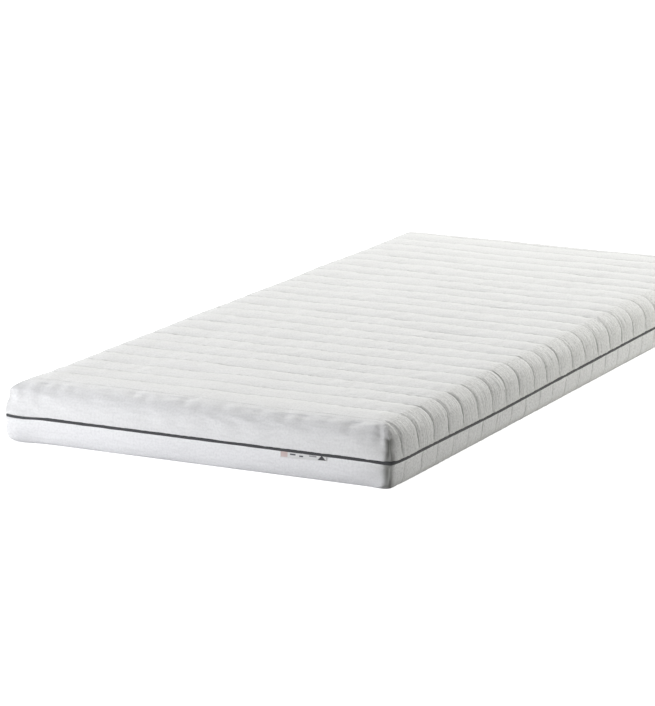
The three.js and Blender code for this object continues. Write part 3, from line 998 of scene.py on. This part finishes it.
def make_stitches(name, paths, thread):
    """Stitches along the paths, as a plain mesh."""
    verts = np.concatenate(paths)
    edges, start = [], 0
    for path in paths:
        edges += [(start + k, start + k + 1) for k in range(len(path) - 1)]
        start += len(path)
    guide_mesh = bpy.data.meshes.new(name + "_guide")
    guide_mesh.from_pydata(verts.tolist(), edges, [])
    guide = linked(name + "_guide", guide_mesh)
    tree = stitch_tree(thread)
    modifier = guide.modifiers.new("stitches", "NODES")
    modifier.node_group = tree
    sockets = {item.name: item.identifier for item in tree.interface.items_tree if item.in_out == "INPUT"}
    modifier[sockets["Pitch"]] = STITCH_PITCH
    modifier[sockets["Stitch length"]] = STITCH_LENGTH
    modifier[sockets["Thread radius"]] = THREAD_RADIUS
    modifier[sockets["Seed"]] = STITCH_SEED
    bpy.context.view_layer.update()
    graph = bpy.context.evaluated_depsgraph_get()
    mesh = bpy.data.meshes.new_from_object(guide.evaluated_get(graph))
    mesh.name = name
    bpy.data.objects.remove(guide)
    return linked(name, mesh)


# ---- materials ---------------------------------------------------------------------------

UPPER_WHITE = (0.80, 0.80, 0.792, 1)
LOWER_WHITE = (0.87, 0.87, 0.87, 1)
# The colour of the painted shade in creases, darts and by the piping, and how far it darkens.
PAINTED_SHADE = (0.3, 0.3, 0.285, 1)
PAINTED_SHADE_STRENGTH = 0.85
CHARCOAL = (0.03, 0.031, 0.033, 1)
WORN_CHARCOAL = (0.085, 0.086, 0.09, 1)
TAPE_WHITE = (0.78, 0.78, 0.77, 1)
TAPE_SHADE = (0.66, 0.66, 0.65, 1)
WEDGE_SHADE = (0.05, 0.05, 0.055, 1)
THREAD_WHITE = (0.7, 0.7, 0.69, 1)
THREAD_SHADE = (0.55, 0.55, 0.54, 1)

# The tape's plain marks: left, right, top and foot on the flat tape, and their colour.
LABEL_MARKS = (
    ((1.5 * MM, 17 * MM, -1 * MM, 10.3 * MM), (0.61, 0.49, 0.47, 1)),
    ((22 * MM, 35 * MM, 1.9 * MM, 5.5 * MM), (0.1, 0.1, 0.11, 1)),
    ((43 * MM, 52 * MM, 3.8 * MM, 7.4 * MM), (0.09, 0.09, 0.1, 1)),
    ((65 * MM, 82 * MM, 0.8 * MM, 4.4 * MM), (0.3, 0.3, 0.31, 1)),
)
WEDGE_LEFT = 92 * MM
WEDGE_RIGHT = 95 * MM
WEDGE_FOOT = 10.2 * MM
WEDGE_SLOPE = 0.8
MARK_EDGE = 0.4 * MM


def math_node(tree, operation, first, second=None, clamp=False):
    """A Math node. Numbers are set on its sockets and sockets are linked to them."""
    node = add(tree.nodes, "ShaderNodeMath", operation=operation, use_clamp=clamp)
    for socket, value in zip(node.inputs, (first, second)):
        if value is None:
            continue
        if isinstance(value, (int, float)):
            socket.default_value = value
        else:
            tree.links.new(value, socket)
    return node.outputs[0]


def ridges(tree, place):
    """Rounded ridges, one for each unit of place."""
    return math_node(tree, "ABSOLUTE", math_node(tree, "SINE", math_node(tree, "MULTIPLY", place, math.pi)))


def knit_group():
    """Knitted loops, drawn from a UV map in metres. Puts out a height, a mottle and streaks."""
    group = bpy.data.node_groups.new("fine knit", "ShaderNodeTree")
    add_socket(group, "Pattern", "INPUT", "Vector")
    add_socket(group, "Loop width", "INPUT", "Float", LOOP_WIDTH)
    add_socket(group, "Loop height", "INPUT", "Float", LOOP_HEIGHT)
    for name in ("Height", "Mottle", "Streaks"):
        add_socket(group, name, "OUTPUT", "Float")
    given = group.nodes.new("NodeGroupInput")
    result = group.nodes.new("NodeGroupOutput")
    split = group.nodes.new("ShaderNodeSeparateXYZ")
    group.links.new(given.outputs["Pattern"], split.inputs[0])
    wale = ridges(group, math_node(group, "DIVIDE", split.outputs["X"], given.outputs["Loop width"]))
    course_place = math_node(group, "DIVIDE", split.outputs["Y"], given.outputs["Loop height"])
    course = ridges(group, math_node(group, "ADD", course_place, math_node(group, "MULTIPLY", wale, 0.45)))
    wale_height = math_node(group, "MULTIPLY", wale, 0.6)
    height = math_node(group, "ADD", wale_height, math_node(group, "MULTIPLY", course, 0.4))
    group.links.new(height, result.inputs["Height"])
    mottle = add(group.nodes, "ShaderNodeTexNoise")
    set_inputs(mottle, {"Scale": 210, "Detail": 3})
    group.links.new(given.outputs["Pattern"], mottle.inputs["Vector"])
    group.links.new(mottle.outputs["Fac"], result.inputs["Mottle"])
    stretch = add(group.nodes, "ShaderNodeMapping")
    set_inputs(stretch, {"Scale": (22, 170, 1)})
    group.links.new(given.outputs["Pattern"], stretch.inputs["Vector"])
    streak = add(group.nodes, "ShaderNodeTexNoise")
    set_inputs(streak, {"Scale": 1, "Detail": 4})
    group.links.new(stretch.outputs["Vector"], streak.inputs["Vector"])
    group.links.new(streak.outputs["Fac"], result.inputs["Streaks"])
    return group


def new_material(name):
    material = bpy.data.materials.new(name)
    material.use_nodes = True
    tree = material.node_tree
    return material, tree, tree.nodes["Principled BSDF"]


def pattern_uv(tree):
    """The piece's own UV map, in metres."""
    return add(tree.nodes, "ShaderNodeUVMap", uv_map="pattern").outputs["UV"]


def tinted(tree, base, shade, amount):
    """base turned towards shade by amount, a socket from 0 to 1."""
    mix = add(tree.nodes, "ShaderNodeMix", data_type="RGBA")
    for socket, value in ((mix.inputs["A"], base), (mix.inputs["B"], shade)):
        if isinstance(value, tuple):
            socket.default_value = value
        else:
            tree.links.new(value, socket)
    tree.links.new(amount, mix.inputs["Factor"])
    return mix.outputs["Result"]


def bump(tree, height, distance, strength, before=None):
    node = add(tree.nodes, "ShaderNodeBump")
    set_inputs(node, {"Distance": distance, "Strength": strength})
    tree.links.new(height, node.inputs["Height"])
    if before is not None:
        tree.links.new(before, node.inputs["Normal"])
    return node.outputs["Normal"]


def above(tree, value, start, gain, share):
    """How far value is above start, from 0 to 1, times share."""
    lifted = math_node(tree, "MULTIPLY", math_node(tree, "SUBTRACT", value, start), gain, True)
    return math_node(tree, "MULTIPLY", lifted, share)


def darker(colour, share):
    """The colour at a share of its brightness."""
    return tuple(channel * share for channel in colour[:3]) + (1,)


def cover_material(name, knit, base):
    """White stretch knit: fine loops, a faint mottle, and painted shade in the stitched creases, the darts
    and by the piping at the corners.
    """
    material, tree, shader = new_material(name)
    loops = tree.nodes.new("ShaderNodeGroup")
    loops.node_tree = knit
    set_inputs(loops, {"Loop width": LOOP_WIDTH, "Loop height": LOOP_HEIGHT})
    tree.links.new(pattern_uv(tree), loops.inputs["Pattern"])
    painted_shade = add(tree.nodes, "ShaderNodeAttribute", attribute_name="painted_shade").outputs["Fac"]
    rough = add(tree.nodes, "ShaderNodeAttribute", attribute_name="grain").outputs["Fac"]
    specks = above(tree, loops.outputs["Mottle"], 0.4, 2.6, rough)
    mottled = tinted(tree, base, darker(base, 0.7), specks)
    streaks = above(tree, loops.outputs["Streaks"], 0.48, 2.4, rough)
    mottled = tinted(tree, mottled, darker(base, 0.84), streaks)
    # Painted shade: darker where the mesh's shade attribute is high, in creases, darts and by the piping.
    depth = math_node(tree, "MULTIPLY", painted_shade, PAINTED_SHADE_STRENGTH, True)
    tree.links.new(tinted(tree, mottled, PAINTED_SHADE, depth), shader.inputs["Base Color"])
    fine = bump(tree, loops.outputs["Height"], 0.12 * MM, 0.5)
    rumple = math_node(tree, "MULTIPLY", loops.outputs["Streaks"], rough)
    tree.links.new(bump(tree, rumple, 2.2 * MM, 0.8, fine), shader.inputs["Normal"])
    set_inputs(shader, {"Roughness": 0.92, "Sheen Weight": 0.12, "Sheen Roughness": 0.6,
                        "Specular IOR Level": 0.25})
    return material


def piping_material():
    """Charcoal bias strip: a diagonal weave that shows on the cord."""
    material, tree, shader = new_material("charcoal bias strip")
    split = tree.nodes.new("ShaderNodeSeparateXYZ")
    tree.links.new(pattern_uv(tree), split.inputs[0])
    u = math_node(tree, "MULTIPLY", split.outputs["X"], 1 / PIPING_YARN)
    v = math_node(tree, "MULTIPLY", split.outputs["Y"], 1 / PIPING_YARN)
    rise, fall = (
        math_node(tree, "SINE", math_node(tree, "MULTIPLY", math_node(tree, way, u, v), math.pi))
        for way in ("ADD", "SUBTRACT")
    )
    crossed = math_node(tree, "ADD", math_node(tree, "MULTIPLY", rise, fall), 1)
    weave = math_node(tree, "MULTIPLY", crossed, 0.5)
    tree.links.new(tinted(tree, CHARCOAL, WORN_CHARCOAL, weave), shader.inputs["Base Color"])
    tree.links.new(bump(tree, weave, 0.2 * MM, 0.7), shader.inputs["Normal"])
    set_inputs(shader, {"Roughness": 0.82, "Sheen Weight": 0.15})
    return material


def box_mask(tree, u, v, left, right, low, high):
    """1 inside a rectangle of the UV map, with slightly soft edges."""
    def inside(socket, start, stop):
        up = math_node(tree, "DIVIDE", math_node(tree, "SUBTRACT", socket, start), MARK_EDGE, True)
        down = math_node(tree, "DIVIDE", math_node(tree, "SUBTRACT", stop, socket), MARK_EDGE, True)
        return math_node(tree, "MULTIPLY", up, down)
    return math_node(tree, "MULTIPLY", inside(u, left, right), inside(v, low, high))


def wedge_mask(tree, u, v):
    """1 inside an upright wedge, wider at its foot."""
    slope = math_node(tree, "MULTIPLY", v, WEDGE_SLOPE)
    from_left = math_node(tree, "SUBTRACT", u, math_node(tree, "SUBTRACT", WEDGE_LEFT, slope))
    from_right = math_node(tree, "SUBTRACT", math_node(tree, "ADD", slope, WEDGE_RIGHT), u)
    from_foot = math_node(tree, "SUBTRACT", WEDGE_FOOT, v)
    inside = math_node(tree, "MINIMUM", math_node(tree, "MINIMUM", from_left, from_right), from_foot)
    return math_node(tree, "DIVIDE", inside, MARK_EDGE, True)


def label_material():
    """Off-white woven tape with a plain rose block, short bars and a dark wedge."""
    material, tree, shader = new_material("woven tape")
    split = tree.nodes.new("ShaderNodeSeparateXYZ")
    tree.links.new(pattern_uv(tree), split.inputs[0])
    u, v = split.outputs["X"], split.outputs["Y"]
    ribs = ridges(tree, math_node(tree, "DIVIDE", v, TAPE_RIB))
    colour = tinted(tree, TAPE_WHITE, TAPE_SHADE, ribs)
    for sides, shade in LABEL_MARKS:
        colour = tinted(tree, colour, shade, box_mask(tree, u, v, *sides))
    colour = tinted(tree, colour, WEDGE_SHADE, wedge_mask(tree, u, v))
    tree.links.new(colour, shader.inputs["Base Color"])
    tree.links.new(bump(tree, ribs, 0.12 * MM, 0.6), shader.inputs["Normal"])
    set_inputs(shader, {"Roughness": 0.6, "Sheen Weight": 0.1})
    return material


def thread_material():
    """White polyester thread, its twist a fine light and shade along each stitch."""
    material, tree, shader = new_material("white thread")
    place = add(tree.nodes, "ShaderNodeTexCoord")
    twist = add(tree.nodes, "ShaderNodeTexNoise")
    set_inputs(twist, {"Scale": 900})
    tree.links.new(place.outputs["Object"], twist.inputs["Vector"])
    colour = tinted(tree, THREAD_WHITE, THREAD_SHADE, twist.outputs["Fac"])
    tree.links.new(colour, shader.inputs["Base Color"])
    tree.links.new(bump(tree, twist.outputs["Fac"], 0.08 * MM, 0.6), shader.inputs["Normal"])
    set_inputs(shader, {"Roughness": 0.5})
    return material


# ---- the pieces --------------------------------------------------------------------------

knit = knit_group()
upper_cloth = cover_material("upper cover knit", knit, UPPER_WHITE)
lower_cloth = cover_material("lower cover knit", knit, LOWER_WHITE)
thread = thread_material()

upper, upper_shell, upper_points = make_upper_cover()
upper.data.materials.append(upper_cloth)
lower, lower_shell, lower_points = make_lower_cover()
lower.data.materials.append(lower_cloth)
piping = make_piping(upper_shell)
piping.data.materials.append(piping_material())
label = make_label()
label.data.materials.append(label_material())

# The thread runs between two shares of the wall's height. The underside has none.
upper_paths = quilting_paths(upper_shell, upper_points, lowest=0.06)
upper_stitches = make_stitches("upper_quilting_thread", upper_paths, thread)
lower_paths = quilting_paths(lower_shell, lower_points, lowest=0.06, highest=0.93, keep_panel=False)
lower_stitches = make_stitches("lower_quilting_thread", lower_paths, thread)

for piece, node in (
    (upper, "upper_cover"), (lower, "lower_cover"), (piping, "edge_piping"), (label, "side_label"),
):
    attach(piece, "root")
    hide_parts(node)
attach(upper_stitches, "root")
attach(lower_stitches, "root")

# ---- studio ------------------------------------------------------------------------------


FLOOR_REACH = 60.0

CAMERA_PLACE = (3.2665, -7.1856, 1.7948)
CAMERA_HEADING = math.radians(-25.64)
CAMERA_PITCH = math.radians(12.52)
CAMERA_ROLL = math.radians(0.59)
CAMERA_LENS = 179.8

WORLD_STRENGTH = 0.14


def make_floor():
    """A plain, nearly white floor that stays pale everywhere."""
    mesh = bpy.data.meshes.new("studio_floor")
    corners = [(x * FLOOR_REACH, y * FLOOR_REACH, 0) for x, y in ((-1, -1), (1, -1), (1, 1), (-1, 1))]
    mesh.from_pydata(corners, [], [(0, 1, 2, 3)])
    floor = linked("studio_floor", mesh)
    material, tree, shader = new_material("pale studio floor")
    set_inputs(shader, {"Base Color": (0.82, 0.82, 0.82, 1), "Roughness": 0.95,
                        "Specular IOR Level": 0.1, "Emission Strength": 1.0})
    seen = tree.nodes.new("ShaderNodeLightPath").outputs["Is Camera Ray"]
    tree.links.new(tinted(tree, (0, 0, 0, 1), (1, 1, 1, 1), seen), shader.inputs["Emission Color"])
    floor.data.materials.append(material)
    return floor


def soft_box(name, place, aim, size, power, colour):
    """A large soft light at a place, turned towards another."""
    light = bpy.data.lights.new(name, "AREA")
    light.shape = "RECTANGLE"
    light.size, light.size_y = size
    light.energy = power
    light.color = colour
    lamp = linked(name, light)
    lamp.location = place
    lamp.rotation_euler = (Vector(aim) - Vector(place)).to_track_quat("-Z", "Y").to_euler()


def make_camera():
    """A long lens, low over the near right corner, turned towards the far left."""
    ahead = Vector((math.sin(CAMERA_HEADING), math.cos(CAMERA_HEADING), 0))
    level = Vector((math.cos(CAMERA_HEADING), -math.sin(CAMERA_HEADING), 0))
    forward = ahead * math.cos(CAMERA_PITCH) - Vector((0, 0, math.sin(CAMERA_PITCH)))
    upright = level.cross(forward)
    right = level * math.cos(CAMERA_ROLL) + upright * math.sin(CAMERA_ROLL)
    up = upright * math.cos(CAMERA_ROLL) - level * math.sin(CAMERA_ROLL)
    data = bpy.data.cameras.new("camera")
    data.lens = CAMERA_LENS
    data.sensor_width = 36
    data.clip_end = 300
    camera = linked("camera", data)
    turned = Matrix((right, up, -forward)).transposed().to_4x4()
    camera.matrix_world = Matrix.Translation(CAMERA_PLACE) @ turned
    bpy.context.scene.camera = camera


def make_world():
    """Dim light all round. Seen directly it is as pale as the floor."""
    world = bpy.data.worlds.new("studio")
    world.use_nodes = True
    nodes, links = world.node_tree.nodes, world.node_tree.links
    set_inputs(nodes["Background"], {"Color": (1, 1, 1, 1)})
    path = nodes.new("ShaderNodeLightPath")
    strength = nodes.new("ShaderNodeMapRange")
    set_inputs(strength, {"To Min": WORLD_STRENGTH, "To Max": 1.0})
    links.new(path.outputs["Is Camera Ray"], strength.inputs["Value"])
    links.new(strength.outputs["Result"], nodes["Background"].inputs["Strength"])
    bpy.context.scene.world = world


make_floor()
soft_box("high back", place=(-1.5, 6.0, 7.5), aim=(0, 0, 0), size=(5.6, 5.6), power=1040,
         colour=(1, 1, 0.985))
soft_box("left front", place=(-2.5, -3.2, 0.75), aim=(0.1, -1, 0.05), size=(1.8, 1.4), power=112,
         colour=(0.95, 0.957, 1))
soft_box("right back", place=(3.2, 2.4, 0.75), aim=(0.45, -0.3, 0.05), size=(1.8, 1.4), power=52,
         colour=(1, 1, 0.925))
make_camera()
make_world()
bpy.context.scene.view_settings.view_transform = "Standard"
